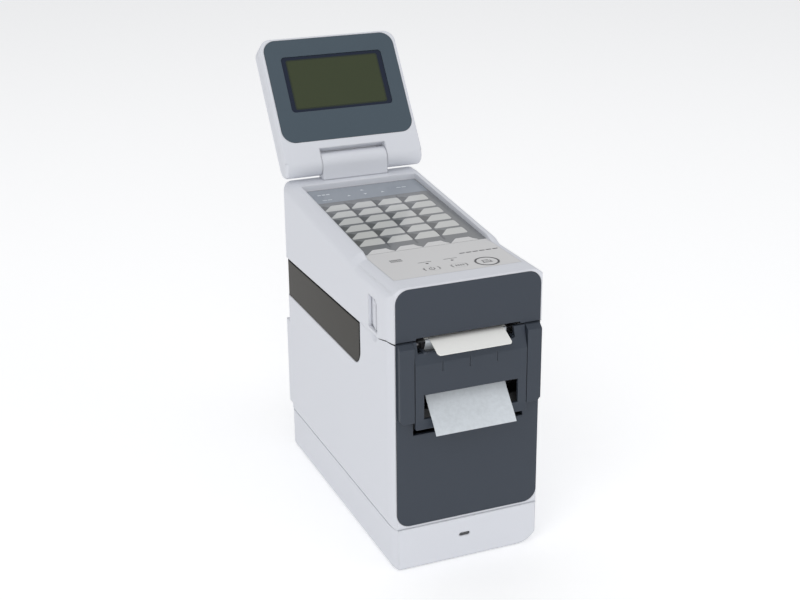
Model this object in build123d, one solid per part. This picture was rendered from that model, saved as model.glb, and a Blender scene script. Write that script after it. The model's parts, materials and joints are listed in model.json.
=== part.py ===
"""Desktop label printer: base with battery, lower case, hinged top cover and tilting display.

Millimetres, +Z up, the front faces -Y. The origin is on the table, at the centre of the
object's overall footprint. Depths named "..._d" are measured back from the front panel.
"""
import math
import os

from build123d import *

# ---------------------------------------------------------------- driving dimensions
FRONT = -130.5            # y of the dark front panels
DEPTH = 215.0             # front panel to rear face
COVER_HALF = 55.0         # half widths of the three stacked housings
CASE_HALF = 54.2
BASE_HALF = 53.7
WALL = 2.6                # moulded housing wall
SKIN_GAP = 0.4            # gap along the parting line between case and cover
FIT = 0.15                # gap round a fixed piece in its seat
RUN = 0.05                # radial clearance of a pin or shaft in its bore
CLEAR = 0.4               # gap between moving pieces that are not a fit

FOOT_H = 1.0
BASE_TOP = 31.0           # base tray to lower case
PART_FRONT = 165.2        # parting line height at the front panel,
PART_SIDE = 161.8         # behind the front corner,
PART_REAR = 158.0         # and at the rear face
TOP_Z = 202.3             # flat control fascia
RAIL_FRONT_Z = 205.2      # rails beside the touch panel, front and rear
RAIL_REAR_Z = 217.4
REAR_TOP_Z = 217.9
RAIL_D = (62.0, 70.0, 201.5)   # where the rails start, reach height and level off
TOP_RADIUS = 9.5
REAR_EDGE = 3.0           # rounding of the cover's top rear edge
CORNER_RUN = 12.0         # front vertical corners: run along the side and step on the front
CORNER_STEP = 2.5
REAR_RADIUS = 5.0

PANEL_HALF = 51.65        # dark front panels
PANEL_T = 2.5
PANEL_TOP = 201.2
PANEL_BOTTOM = 32.6
PANEL_RADIUS = 9.5

GLASS_HALF = 45.5         # touch panel
GLASS_T = 1.6
GLASS_D = (70.0, 196.0)
GLASS_REAR_Z = 212.6
FILM_T = 0.8              # printed fascia film in front of the touch panel
FILM_D = 16.5

WINDOW_D = 57.0           # smoked side windows
WINDOW_Z = 128.0
WINDOW_RADIUS = 12.0
WINDOW_INSET = 0.4
WINDOW_T = 2.2
WINDOW_WRAP = 6.5         # how far the window wraps on to the rear face

HINGE_R = 3.2             # cover hinge barrel on the rear edge
HINGE_PIN_R = 1.25
KNUCKLE_X = (29.0, 40.0)

DISPLAY_TILT = 55.4       # display face above the horizontal, leaning back
DISPLAY_AXIS_D = 211.0
DISPLAY_AXIS_Z = 228.4
DISPLAY_HALF = 55.0
DISPLAY_FRONT = 8.5       # front face and rear face either side of the hinge axis
DISPLAY_BACK = 9.5
DISPLAY_TOP = 100.1
DISPLAY_RADIUS = 9.0
BEZEL_HALF = 52.5
BEZEL_Y = (15.7, 98.4)
BEZEL_T = 1.6
LCD_HALF = 40.7
LCD_Y = (39.5, 84.5)
NECK_HALF = 26.0
NOTCH_TOP = 9.3
DISPLAY_PIN_R = 2.0

PLATEN_D = 13.0
PLATEN_Z = 157.5
PLATEN_R = 6.0
PLATEN_HALF = 31.0
SHAFT_R = 3.0
PAPER_T = 0.3
LINER_HALF = 29.0
LABEL_HALF = 26.5
LABEL_ROUND = 2.6
PAPER_X = -0.5            # the web runs a little left of the centre line

FRAME_X = (43.0, 45.5)    # inner frame side plates
GEAR_X = (46.4, 49.4)
MODULE = 0.8
PLATEN_TEETH = 20
IDLER_TEETH = 36
MOTOR_TEETH = 12
MOTOR_D = 40.0
MOTOR_Z = 127.0
MOTOR_HALF = 17.5

ROLL_D = 125.0
ROLL_Z = 110.0
ROLL_R = 46.0
CORE_R = 14.0
CORE_BORE = 12.7
GUIDE_R = 27.0
GUIDE_T = 3.0
PINION_TEETH = 14
RACK_MODULE = 1.0

PEEL_FACE = -4.6          # front face of the peeler, in front of the dark panel
PEEL_HALF = 40.0
ARM_X = (40.6, 50.8)
ARM_BOTTOM = 110.1
ARM_CREASE = 162.0
PEEL_TOP = 164.8
PEEL_EDGE = 150.0
PEEL_BOTTOM = 105.0
PEEL_PIVOT = (-2.3, 113.0)
PEEL_WALL = 2.2
NOTCH_X = (-37.5, 32.0)   # gap in the peeler's top for the label
NOTCH_Z = 157.3
SLOT_HALF = 34.0          # slot for the backing strip
SLOT_Z = (111.6, 128.8)
PEEL_ROLL_R = 3.2

LEVER_D = (23.5, 38.5)    # finger recess of the cover release
LEVER_Z = (165.0, 187.5)
SCOOP_R = 9.0             # shallow scoop in the case below the recess
SCOOP_DEPTH = 1.8
LATCH_AXIS = (33.0, 193.0)
LATCH_SHAFT_R = 2.0
CATCH = (42.0, 157.0)     # depth and height of the pins that the latch hooks reach under
CATCH_R = 1.6
CATCH_END = 49.5

BULGE_HALF = 52.5         # connector housing on the rear face
BULGE_DEPTH = 13.5
BULGE_Z = (33.5, 104.0)
BULGE_RADIUS = 6.0

BATTERY_HALF = 32.0
BATTERY_LEN = 150.0
BATTERY_Z = (3.9, 24.9)
BASE_ROUND = 16.0         # rounded lower right edge of the base

PRINT_BUTTON = (25.2, 26.9, 8.4)     # x, depth, radius
FEED_BUTTON = (5.2, 27.0)
POWER_BUTTON = (-14.0, 28.1)
OVAL = (11.6, 7.6)
BUTTON_T = 2.4
BUTTON_GAP = 0.25


# ---------------------------------------------------------------- helpers
def y_at(depth):
    return FRONT + depth


def block(x0, x1, d0, d1, z0, z1):
    """A box from two corners, its y given as depth behind the front panel."""
    size = (x1 - x0, d1 - d0, z1 - z0)
    return Pos((x0 + x1) / 2, y_at((d0 + d1) / 2), (z0 + z1) / 2) * Box(*size)


def rod_x(depth, z, radius, x0, x1):
    return Pos((x0 + x1) / 2, y_at(depth), z) * Rot(0, 90, 0) * Cylinder(radius, x1 - x0)


def rod_y(x, z, radius, d0, d1):
    return Pos(x, y_at((d0 + d1) / 2), z) * Rot(90, 0, 0) * Cylinder(radius, d1 - d0)


def rod_z(x, depth, radius, z0, z1):
    return Pos(x, y_at(depth), (z0 + z1) / 2) * Cylinder(radius, z1 - z0)


def side_profile(points, x0, x1):
    """An outline of (depth, z) points, extruded from x0 to x1."""
    outline = make_face(Polyline(*[(y_at(d), z) for d, z in points], close=True))
    return extrude(Plane.YZ.offset(x0) * outline, amount=x1 - x0)


def both_sides(solid):
    return solid, mirror(solid, about=Plane.YZ)


def plan(half, front_d, rear_d, inset=0.0):
    """The housings' outline from above: drawn-in front corners and round rear ones."""
    side = half - inset
    nose = half - CORNER_STEP - inset
    front = y_at(front_d) + inset
    rear = y_at(rear_d) - inset
    shoulder = y_at(front_d) + CORNER_RUN
    radius = REAR_RADIUS - inset
    edges = [
        Line((-nose, front), (nose, front)),
        TangentArc((side, shoulder), (nose, front), tangent=(0, -1)),
        Line((side, shoulder), (side, rear - radius)),
        TangentArc((side, rear - radius), (side - radius, rear), tangent=(0, 1)),
        Line((side - radius, rear), (radius - side, rear)),
        TangentArc((-side, rear - radius), (radius - side, rear), tangent=(0, 1)),
        Line((-side, rear - radius), (-side, shoulder)),
        TangentArc((-side, shoulder), (-nose, front), tangent=(0, -1)),
    ]
    return make_face(Curve() + edges)


def prism(face, z0, z1):
    return extrude(Plane.XY.offset(z0) * face, amount=z1 - z0)


def parting(depth):
    """Height of the lower case's top edge at a depth."""
    run = (depth - 22.0) / (DEPTH - 22.0)
    return PART_SIDE + (PART_REAR - PART_SIDE) * run


def glass_z(depth):
    run = (depth - GLASS_D[0]) / (GLASS_D[1] - GLASS_D[0])
    return TOP_Z + (GLASS_REAR_Z - TOP_Z) * run


def gear(teeth, module, phase_deg, bore, x0, x1, depth, z):
    """A spur gear on an X axis with straight-sided teeth, one centred at phase_deg."""
    pitch_r = teeth * module / 2
    step = 2 * math.pi / teeth
    corners = []
    for i in range(teeth):
        centre = math.radians(phase_deg) + i * step
        for radius, offset in (
            (pitch_r - 1.1 * module, -0.30),
            (pitch_r + 0.85 * module, -0.11),
            (pitch_r + 0.85 * module, 0.11),
            (pitch_r - 1.1 * module, 0.30),
        ):
            angle = centre + offset * step
            corners.append((radius * math.cos(angle), radius * math.sin(angle)))
    face = make_face(Polyline(*corners, close=True)) - Circle(bore)
    return Pos(0, y_at(depth), z) * extrude(Plane.YZ.offset(x0) * face, amount=x1 - x0)


def meshed_phase(phase_deg, teeth, direction_deg, next_teeth):
    """The phase of a gear meshed with one at phase_deg, seen from it along direction_deg."""
    own = (phase_deg - direction_deg) / (360 / teeth)
    return direction_deg + 180 - (360 / next_teeth) * (own + 0.5)


def section(x0, x1, z0, z1, left_radius, right_radius, d0, d1):
    """A front-to-back bar whose two lower edges are rounded."""
    edges = [
        Line((x0, z1), (x0, z0 + left_radius)),
        TangentArc((x0, z0 + left_radius), (x0 + left_radius, z0), tangent=(0, -1)),
        Line((x0 + left_radius, z0), (x1 - right_radius, z0)),
        TangentArc((x1 - right_radius, z0), (x1, z0 + right_radius), tangent=(1, 0)),
        Line((x1, z0 + right_radius), (x1, z1)),
        Line((x1, z1), (x0, z1)),
    ]
    face = Plane.XZ.offset(-y_at(d1)) * make_face(Curve() + edges)
    return extrude(face, amount=d1 - d0)


def ribbon(path, x0, x1, thickness):
    """A thin strip that follows a path of (depth, z) points, extruded from x0 to x1."""
    near, far = [], []
    for i, (d, z) in enumerate(path):
        before = path[max(i - 1, 0)]
        after = path[min(i + 1, len(path) - 1)]
        along = math.hypot(after[0] - before[0], after[1] - before[1])
        across = ((before[1] - after[1]) / along, (after[0] - before[0]) / along)
        near.append((d + across[0] * thickness / 2, z + across[1] * thickness / 2))
        far.append((d - across[0] * thickness / 2, z - across[1] * thickness / 2))
    return side_profile(near + far[::-1], x0, x1)


def bezier(points, count):
    """Points along a Bezier curve through its end points."""
    last = len(points) - 1
    curve = []
    for step in range(count + 1):
        t = step / count
        weights = [math.comb(last, k) * t**k * (1 - t) ** (last - k) for k in range(last + 1)]
        curve.append(
            (
                sum(w * p[0] for w, p in zip(weights, points)),
                sum(w * p[1] for w, p in zip(weights, points)),
            )
        )
    return curve


def oval(x, depth, length, width, z0, z1):
    face = SlotOverall(length, width)
    return Pos(x, y_at(depth), 0) * prism(face, z0, z1)


# ---------------------------------------------------------------- base
def rubber_feet():
    feet = []
    for x in (-BASE_HALF + 14, BASE_HALF - BASE_ROUND - 8):
        for depth in (18.0, DEPTH - 18.0):
            feet.append(rod_z(x, depth, 6.5, 0, FOOT_H))
    return Compound(feet)


def base_tray():
    front_d = -0.9
    outer = prism(plan(BASE_HALF, front_d, DEPTH), FOOT_H, BASE_TOP - FIT)
    outer &= section(-BASE_HALF, BASE_HALF, FOOT_H, BASE_TOP, 1.5, BASE_ROUND, -10, DEPTH + 10)
    floor = FOOT_H + WALL
    inside = BASE_HALF - WALL
    cavity = block(-inside, inside - 4, front_d + WALL + 1, DEPTH - WALL, floor, BASE_TOP + 5)
    cavity -= block(inside - BASE_ROUND, inside, -5, DEPTH, 0, BASE_ROUND - 1)
    tray = outer - cavity
    for side in (-1, 1):
        rib = BATTERY_HALF + CLEAR + FIT
        x0, x1 = sorted((side * rib, side * (rib + 1.8)))
        tray += block(x0, x1, DEPTH - BATTERY_LEN - 3, DEPTH - WALL, floor, BATTERY_Z[1] + 1.5)
    bay = BATTERY_HALF + CLEAR
    tray -= block(-bay, bay, DEPTH - WALL - 4, DEPTH + 1, floor, BATTERY_Z[1] + CLEAR)
    tray -= Pos(-2.7, y_at(front_d + 1.5), 18.2) * Rot(90, 0, 0) * extrude(SlotOverall(8, 2.6), amount=6, both=True)
    return tray


def base_indicator():
    """Light pipe of the battery state light in the base's front."""
    shape = extrude(SlotOverall(8 - 2 * FIT, 2.6 - 2 * FIT), amount=2.4, both=True)
    return Pos(-2.7, y_at(-0.9 + 2.9), 18.2) * Rot(90, 0, 0) * shape


def battery_pack():
    pack = block(-BATTERY_HALF, BATTERY_HALF, DEPTH - BATTERY_LEN, DEPTH - 0.4, *BATTERY_Z)
    pack = fillet(pack.edges().filter_by(Axis.Y), 2.0)
    for i in range(7):
        z = BATTERY_Z[0] + 5 + i * 1.8
        pack -= block(-12, 12, DEPTH - 1.2, DEPTH, z, z + 0.8)
    return pack


# ---------------------------------------------------------------- lower case
def case_top(x0, x1, lift=0.0, top=None):
    """Everything below the parting line (or above it, with top given)."""
    line = [
        (-20, PART_FRONT + lift),
        (9, PART_FRONT + lift),
        (22, PART_SIDE + lift),
        (DEPTH + 40, parting(DEPTH + 40) + lift),
    ]
    edge = BASE_TOP - 50 if top is None else top
    return side_profile(line + [(DEPTH + 40, edge), (-20, edge)], x0, x1)


def window_zone(grow):
    """The window's outline on the side, seen along X."""
    front = y_at(WINDOW_D - grow)
    low = WINDOW_Z - grow
    high = PART_SIDE + 20
    rear = y_at(DEPTH + 20)
    radius = WINDOW_RADIUS
    edges = [
        Line((front, high), (front, low + radius)),
        TangentArc((front, low + radius), (front + radius, low), tangent=(0, -1)),
        Line((front + radius, low), (rear, low)),
        Line((rear, low), (rear, high)),
        Line((rear, high), (front, high)),
    ]
    inner = CASE_HALF - REAR_RADIUS - WINDOW_WRAP - grow
    face = make_face(Curve() + edges)
    return extrude(Plane.YZ.offset(inner) * face, amount=CASE_HALF + 5 - inner)


def hinge_axis():
    return DEPTH - HINGE_R, parting(DEPTH) + SKIN_GAP + HINGE_R


def lower_case():
    outer = prism(plan(CASE_HALF, 0, DEPTH), BASE_TOP, PART_FRONT + 5)
    outer &= section(-CASE_HALF, CASE_HALF, BASE_TOP, 200, 2.0, 2.0, -10, DEPTH + 10)
    outer &= case_top(-60, 60)
    floor = BASE_TOP + WALL
    inside = CASE_HALF - WALL
    cavity = block(-inside, inside, PANEL_T + WALL, DEPTH - WALL, floor, 200)
    shell = outer - cavity
    panel = PANEL_HALF + FIT
    low = PANEL_BOTTOM - FIT
    shell -= Pos(0, y_at(-1), 0) * front_plate(panel, low, 200, PANEL_RADIUS, PANEL_T + 1, top=False)
    opening = PANEL_HALF - 1.5
    shell -= block(-opening, opening, -1, PANEL_T + WALL + 1, 96, 200)
    scoop = Sphere(SCOOP_R)
    reach = CASE_HALF + SCOOP_R - SCOOP_DEPTH
    for side in (-1, 1):
        shell -= Pos(side * reach, y_at(sum(LEVER_D) / 2), PART_SIDE) * scoop
    for zone in both_sides(window_zone(FIT)):
        shell -= zone & prism(plan(CASE_HALF, 0, DEPTH, inset=-1), BASE_TOP, 200) - block(-inside, inside, 0, DEPTH - WALL, 0, 200)
    port = BULGE_HALF - 6
    shell -= block(-port, port, DEPTH - WALL - 1, DEPTH + 1, floor + 2, BULGE_Z[1] - 6)
    axis_d, axis_z = hinge_axis()
    for side in (-1, 1):
        x0, x1 = sorted((side * KNUCKLE_X[0], side * KNUCKLE_X[1]))
        knuckle = rod_x(axis_d, axis_z, HINGE_R - 0.1, x0, x1)
        knuckle += block(x0, x1, DEPTH - WALL, DEPTH - 0.2, axis_z - 12, axis_z)
        shell += knuckle - rod_x(axis_d, axis_z, HINGE_PIN_R, x0 - 1, x1 + 1)
        for depth in (40.0, 110.0, 185.0):
            shell += rod_z(side * 38, depth, 3.5, floor, floor + 3)
    return shell


def front_plate(half, z0, z1, radius, thickness, top):
    """A plate in the XZ plane, two of its corners round, from the front plane backwards."""
    height = z1 - z0
    plate = Box(2 * half, thickness, height)
    z_round = height / 2 if top else -height / 2
    edges = [e for e in plate.edges().filter_by(Axis.Y) if abs(e.center().Z - z_round) < 0.01]
    plate = fillet(edges, radius)
    return Pos(0, thickness / 2, (z0 + z1) / 2) * plate


def front_panel():
    """Dark lower front panel with the opening behind the peeler."""
    panel = Pos(0, FRONT, 0) * front_plate(PANEL_HALF, PANEL_BOTTOM, PART_FRONT - 0.2, PANEL_RADIUS, PANEL_T, top=False)
    panel -= block(-PEEL_HALF, PEEL_HALF, -1, PANEL_T + 1, PEEL_BOTTOM - 6, 200)
    for side in (-1, 1):
        for z in (118.0, 152.0):
            panel -= rod_y(side * 45.5, z, 1.3, -1, PANEL_T + 1)
    return panel


def side_windows():
    band = prism(plan(CASE_HALF, 0, DEPTH, inset=WINDOW_INSET), BASE_TOP, 200)
    band -= prism(plan(CASE_HALF, 0, DEPTH, inset=WINDOW_INSET + WINDOW_T), BASE_TOP - 1, 201)
    band &= case_top(-60, 60, lift=-0.3)
    return Compound([band & zone for zone in both_sides(window_zone(0))])


def rear_housing():
    """Connector housing that stands out from the rear face."""
    shell = block(-BULGE_HALF, BULGE_HALF, DEPTH, DEPTH + BULGE_DEPTH, *BULGE_Z)
    rear = [e for e in shell.edges() if abs(e.center().Y - y_at(DEPTH + BULGE_DEPTH)) < 0.01]
    shell = fillet(rear, BULGE_RADIUS)
    inner = BULGE_HALF - WALL
    shell -= block(-inner, inner, DEPTH - 1, DEPTH + BULGE_DEPTH - WALL - 1.6, BULGE_Z[0] + WALL, BULGE_Z[1] - WALL)
    for x, half_w, z0, z1 in CONNECTORS:
        shell -= block(x - half_w - FIT, x + half_w + FIT, DEPTH, DEPTH + BULGE_DEPTH + 1, z0 - FIT, z1 + FIT)
    for i in range(9):
        x = -32 + i * 8
        shell -= block(x, x + 4, DEPTH, DEPTH + BULGE_DEPTH + 1, 76, 96)
    return shell


BOARD_Z = BASE_TOP + WALL + 3
BOARD_T = 1.6
SOCKET_Z = BOARD_Z + BOARD_T
CONNECTORS = (
    (-38.0, 5.5, SOCKET_Z, SOCKET_Z + 11.0),
    (-18.0, 6.2, SOCKET_Z, SOCKET_Z + 11.4),
    (2.0, 8.2, SOCKET_Z, SOCKET_Z + 13.6),
    (30.0, 15.5, SOCKET_Z, SOCKET_Z + 12.6),
)


def socket_body(index):
    x, half_w, z0, z1 = CONNECTORS[index]
    return block(x - half_w, x + half_w, DEPTH - 6, DEPTH + BULGE_DEPTH - 0.6, z0, z1), x, (z0 + z1) / 2


def dc_jack():
    body, x, z = socket_body(0)
    rear = DEPTH + BULGE_DEPTH
    body -= rod_y(x, z, 3.2, rear - 11, rear)
    return body + rod_y(x, z, 1.0, rear - 11.5, rear - 2)


def usb_port():
    body, x, z = socket_body(1)
    rear = DEPTH + BULGE_DEPTH
    body -= block(x - 4.4, x + 4.4, rear - 11, rear, z - 4.1, z + 4.1)
    return body + block(x - 2.8, x + 2.8, rear - 11.5, rear - 2.5, z - 1.6, z + 1.6)


def lan_port():
    body, x, z = socket_body(2)
    rear = DEPTH + BULGE_DEPTH
    body -= block(x - 5.9, x + 5.9, rear - 13, rear, z - 5.2, z + 2.6)
    return body - block(x - 3.0, x + 3.0, rear - 13, rear, z + 2.5, z + 4.6)


def serial_port():
    body, x, z = socket_body(3)
    rear = DEPTH + BULGE_DEPTH
    body -= block(x - 9.2, x + 9.2, rear - 3, rear, z - 4.3, z + 4.3)
    body += block(x - 7.8, x + 7.8, rear - 3.5, rear - 1.2, z - 2.9, z + 2.9)
    for side in (-1, 1):
        body += rod_y(x + side * 12.4, z, 1.9, rear - 1.5, rear + 1.6)
    return body


def main_board():
    board = block(-44, 44, 26, DEPTH + 5, BOARD_Z, SOCKET_Z)
    board += block(-30, -12, 60, 78, SOCKET_Z, SOCKET_Z + 2)
    board += block(4, 12, 60, 70, SOCKET_Z, SOCKET_Z + 1.4)
    for side in (-1, 1):
        for depth in (40.0, 110.0, 185.0):
            board -= rod_z(side * 38, depth, 1.4, BOARD_Z - 1, SOCKET_Z + 1)
    return board


# ---------------------------------------------------------------- inner frame and drive
def gear_places():
    """Depth, height and phase of the platen, idler and motor gears."""
    first = (PLATEN_TEETH + IDLER_TEETH) * MODULE / 2 + 0.05
    second = (IDLER_TEETH + MOTOR_TEETH) * MODULE / 2 + 0.05
    span = math.hypot(MOTOR_D - PLATEN_D, MOTOR_Z - PLATEN_Z)
    line = math.atan2(MOTOR_Z - PLATEN_Z, MOTOR_D - PLATEN_D)
    bend = math.acos((first**2 + span**2 - second**2) / (2 * first * span))
    to_idler = line - bend
    idler = (PLATEN_D + first * math.cos(to_idler), PLATEN_Z + first * math.sin(to_idler))
    to_motor = math.atan2(MOTOR_Z - idler[1], MOTOR_D - idler[0])
    idler_phase = meshed_phase(0, PLATEN_TEETH, math.degrees(to_idler), IDLER_TEETH)
    motor_phase = meshed_phase(idler_phase, IDLER_TEETH, math.degrees(to_motor), MOTOR_TEETH)
    return (PLATEN_D, PLATEN_Z, 0.0), (*idler, idler_phase), (MOTOR_D, MOTOR_Z, motor_phase)


def inner_frame():
    """Moulded chassis: two side plates joined by a floor and the media guide."""
    floor = BASE_TOP + WALL
    low = SOCKET_Z + 3.5
    top = PLATEN_Z + 3.6
    left, right = both_sides(side_profile(
        [(8.0, 96), (20, low), (70, low), (70, 130), (52, top - 3), (30, top), (5.5, top), (5.5, 150), (8.0, 146)],
        *FRAME_X))
    frame = left + right
    inside = FRAME_X[0] + 0.01
    frame += block(-inside, inside, 20, 70, low, low + 2.5)
    frame += side_profile([(22, 155), (58, 152.5), (66, 148), (66, 146), (58, 150), (22, 152.5)], -inside, inside)
    frame += block(-inside, inside, 9.5, 12, 98, 112)
    for side in (-1, 1):
        x0, x1 = sorted((side * (FRAME_X[0] + 0.01), side * (CASE_HALF - WALL - 0.02)))
        frame += block(x0, x1, 62, 66, low, 90)
        frame -= rod_x(PLATEN_D, PLATEN_Z, SHAFT_R + 2.0, *sorted((side * 42, side * 47)))
        frame -= rod_x(*CATCH, CATCH_R, *sorted((side * (FRAME_X[0] - 1), side * 50)))
        for depth in (40.0,):
            frame += rod_z(side * 38, depth, 3.0, SOCKET_Z, low + 0.5)
    idler = gear_places()[1]
    frame += rod_x(idler[0], idler[1], 2.0, FRAME_X[1] - 0.5, GEAR_X[1] + 0.6)
    frame -= rod_x(MOTOR_D, MOTOR_Z, 6.0, FRAME_X[0] - 1, FRAME_X[1] + 1)
    return frame


def platen_bearings():
    ring = rod_x(PLATEN_D, PLATEN_Z, SHAFT_R + 2.0, *FRAME_X)
    ring -= rod_x(PLATEN_D, PLATEN_Z, SHAFT_R + RUN, FRAME_X[0] - 1, FRAME_X[1] + 1)
    return Compound(both_sides(ring))


def platen_shaft():
    return rod_x(PLATEN_D, PLATEN_Z, SHAFT_R, -FRAME_X[1] - 1, GEAR_X[1] + 0.5)


def platen_rubber():
    tube = rod_x(PLATEN_D, PLATEN_Z, PLATEN_R, -PLATEN_HALF, PLATEN_HALF)
    return tube - rod_x(PLATEN_D, PLATEN_Z, SHAFT_R, -PLATEN_HALF - 1, PLATEN_HALF + 1)


def drive_gear(index, teeth, bore):
    depth, z, phase = gear_places()[index]
    return gear(teeth, MODULE, phase, bore, GEAR_X[0], GEAR_X[1], depth, z)


def stepper_motor():
    can = block(FRAME_X[0] - 26, FRAME_X[0], MOTOR_D - MOTOR_HALF, MOTOR_D + MOTOR_HALF, MOTOR_Z - MOTOR_HALF, MOTOR_Z + MOTOR_HALF)
    can = chamfer(can.edges().filter_by(Axis.X), 4.0)
    return can + rod_x(MOTOR_D, MOTOR_Z, 5.5, FRAME_X[0], FRAME_X[1])


def motor_shaft():
    return rod_x(MOTOR_D, MOTOR_Z, 1.5, FRAME_X[1] + 0.1, GEAR_X[1] + 1)


def peel_bar():
    """Thin polished bar that the backing strip turns round, between the frame plates."""
    return side_profile([(4.2, 162.9), (7.2, 163.3), (7.2, 161.9), (5.0, 161.7)], -FRAME_X[0], FRAME_X[0])


def catch_pins():
    """Steel pins in the frame's side plates that the latch hooks reach under."""
    return Compound(both_sides(rod_x(*CATCH, CATCH_R, FRAME_X[0], CATCH_END)))


# ---------------------------------------------------------------- media
def roll_core():
    tube = rod_x(ROLL_D, ROLL_Z, CORE_R, PAPER_X - LINER_HALF, PAPER_X + LINER_HALF)
    return tube - rod_x(ROLL_D, ROLL_Z, CORE_BORE, PAPER_X - LINER_HALF - 1, PAPER_X + LINER_HALF + 1)


def label_roll():
    disc = rod_x(ROLL_D, ROLL_Z, ROLL_R, PAPER_X - LINER_HALF, PAPER_X + LINER_HALF)
    return disc - rod_x(ROLL_D, ROLL_Z, CORE_R, PAPER_X - LINER_HALF - 1, PAPER_X + LINER_HALF + 1)


WEB_Z = PLATEN_Z + PLATEN_R + 0.3 + PAPER_T / 2


def label_web():
    """The strip of labels on its backing, from the roll over the platen to the peel bar."""
    start = (ROLL_D, ROLL_Z + ROLL_R + 0.3 + PAPER_T / 2)
    return ribbon([start, (PLATEN_D + 12, WEB_Z - 0.3), (PLATEN_D, WEB_Z), (5.0, WEB_Z)], PAPER_X - LINER_HALF, PAPER_X + LINER_HALF, PAPER_T)


def front_label():
    """The label that has peeled off and waits in the exit."""
    path = bezier([(4.7, WEB_Z + 0.1), (1.0, WEB_Z + 0.1), (-5.5, 160.3), (-11.6, 157.9)], 8)
    strip = ribbon(path, PAPER_X - LABEL_HALF, PAPER_X + LABEL_HALF, PAPER_T)
    outline = Pos(PAPER_X, y_at(path[-1][0] + 19.9), 0) * RectangleRounded(2 * LABEL_HALF, 40, LABEL_ROUND)
    return strip & prism(outline, 100, 200)


def liner_strip():
    """The bare backing strip: round the peel bar, down past the peel roller and out of the slot."""
    path = [(4.3, 163.4), (3.6, 162.8), (3.6, 161.5), (4.6, 159.0), (5.9, 156.3), (7.84, 153.47), (8.9, 151.6)]
    path += bezier([(9.4, 149.0), (9.2, 131.0), (6.0, 124.0), (0.0, 118.4), (-6.0, 113.5), (-10.5, 107.5), (-14.0, 102.8)], 14)
    return ribbon(path, PAPER_X - LINER_HALF, PAPER_X + LINER_HALF, PAPER_T)


def rack_place(side):
    """Depth of a roll guide's rack beside the pinion: the left one behind it."""
    return ROLL_D - side * (PINION_TEETH * RACK_MODULE / 2 + 0.1)


RAIL_Z = 50.0


def roll_guide(side):
    """A disc that centres the roll, on a slide with a toothed rack."""
    face = PAPER_X + side * (LINER_HALF + CLEAR)
    x0, x1 = sorted((face, face + side * GUIDE_T))
    guide = rod_x(ROLL_D, ROLL_Z, GUIDE_R, x0, x1)
    guide += block(x0, x1, ROLL_D - 13, ROLL_D + 13, RAIL_Z + 6, ROLL_Z)
    h0, h1 = sorted((face + side * 0.5, face - side * 7))
    guide += rod_x(ROLL_D, ROLL_Z, CORE_BORE - CLEAR, h0, h1)
    guide += block(x0, x1, ROLL_D - 22, ROLL_D + 22, RAIL_Z + 0.3, RAIL_Z + 6)
    pitch = math.pi * RACK_MODULE
    line = y_at(rack_place(side)) - FRONT
    inward = side
    far = -side * 15.0
    r0, r1 = sorted((face, far))
    d0, d1 = sorted((line - inward * 1.1 * RACK_MODULE, line - inward * 6))
    guide += block(r0, r1, d0, d1, RAIL_Z + 0.3, RAIL_Z + 5)
    tooth_count = 7
    for i in range(-tooth_count // 2, tooth_count // 2 + 1):
        x = (i + 0.5) * pitch
        root = line - inward * 1.2 * RACK_MODULE
        tip = line + inward * 0.85 * RACK_MODULE
        outline = [(x - 0.30 * pitch, y_at(root)), (x - 0.11 * pitch, y_at(tip)), (x + 0.11 * pitch, y_at(tip)), (x + 0.30 * pitch, y_at(root))]
        tooth = prism(make_face(Polyline(*outline, close=True)), RAIL_Z + 0.3, RAIL_Z + 5)
        if r0 + 1 < x < r1 - 1:
            guide += tooth
    return guide


def guide_pinion():
    pitch_r = PINION_TEETH * RACK_MODULE / 2
    step = 2 * math.pi / PINION_TEETH
    corners = []
    for i in range(PINION_TEETH):
        centre = math.radians(90) + i * step
        for radius, offset in ((pitch_r - 1.1, -0.30), (pitch_r + 0.8, -0.11), (pitch_r + 0.8, 0.11), (pitch_r - 1.1, 0.30)):
            angle = centre + offset * step
            corners.append((radius * math.cos(angle), radius * math.sin(angle)))
    face = make_face(Polyline(*corners, close=True)) - Circle(2.0 + RUN)
    return Pos(0, y_at(ROLL_D), 0) * prism(face, RAIL_Z + 0.4, RAIL_Z + 4.6)


def guide_rail():
    """Plate under the roll that carries the guides and the pinion's stud."""
    plate = block(-50, 50, 92, 178, RAIL_Z - 3, RAIL_Z)
    plate += rod_z(0, ROLL_D, 2.0, RAIL_Z - 1, RAIL_Z + 5)
    for side in (-1, 1):
        for depth in (110.0, 175.0):
            plate += rod_z(side * 46.5, depth, 2.5, BASE_TOP + WALL, RAIL_Z - 2)
    return plate


# ---------------------------------------------------------------- peeler
def peeler_arm(side):
    """Fixed side piece of the peeler, with the pivot hole."""
    x0, x1 = ARM_X
    outline = [(PEEL_FACE, ARM_BOTTOM), (PEEL_FACE, ARM_CREASE), (PEEL_FACE + 3.4, PART_FRONT - 0.3), (0, PART_FRONT - 0.3), (0, ARM_BOTTOM)]
    arm = side_profile(outline, x0, x1)
    arm = chamfer([e for e in arm.edges().filter_by(Axis.Y) if e.center().Z < ARM_BOTTOM + 1 and e.center().X > x1 - 1], 2.4)
    arm -= rod_x(*PEEL_PIVOT, 1.4 + RUN, x0 - 1, x0 + 4.2)
    for z in (118.0, 152.0):
        arm += rod_y(45.5, z, 1.3 - FIT / 2, -0.5, PANEL_T + 0.5)
    return arm if side > 0 else mirror(arm, about=Plane.YZ)


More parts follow.
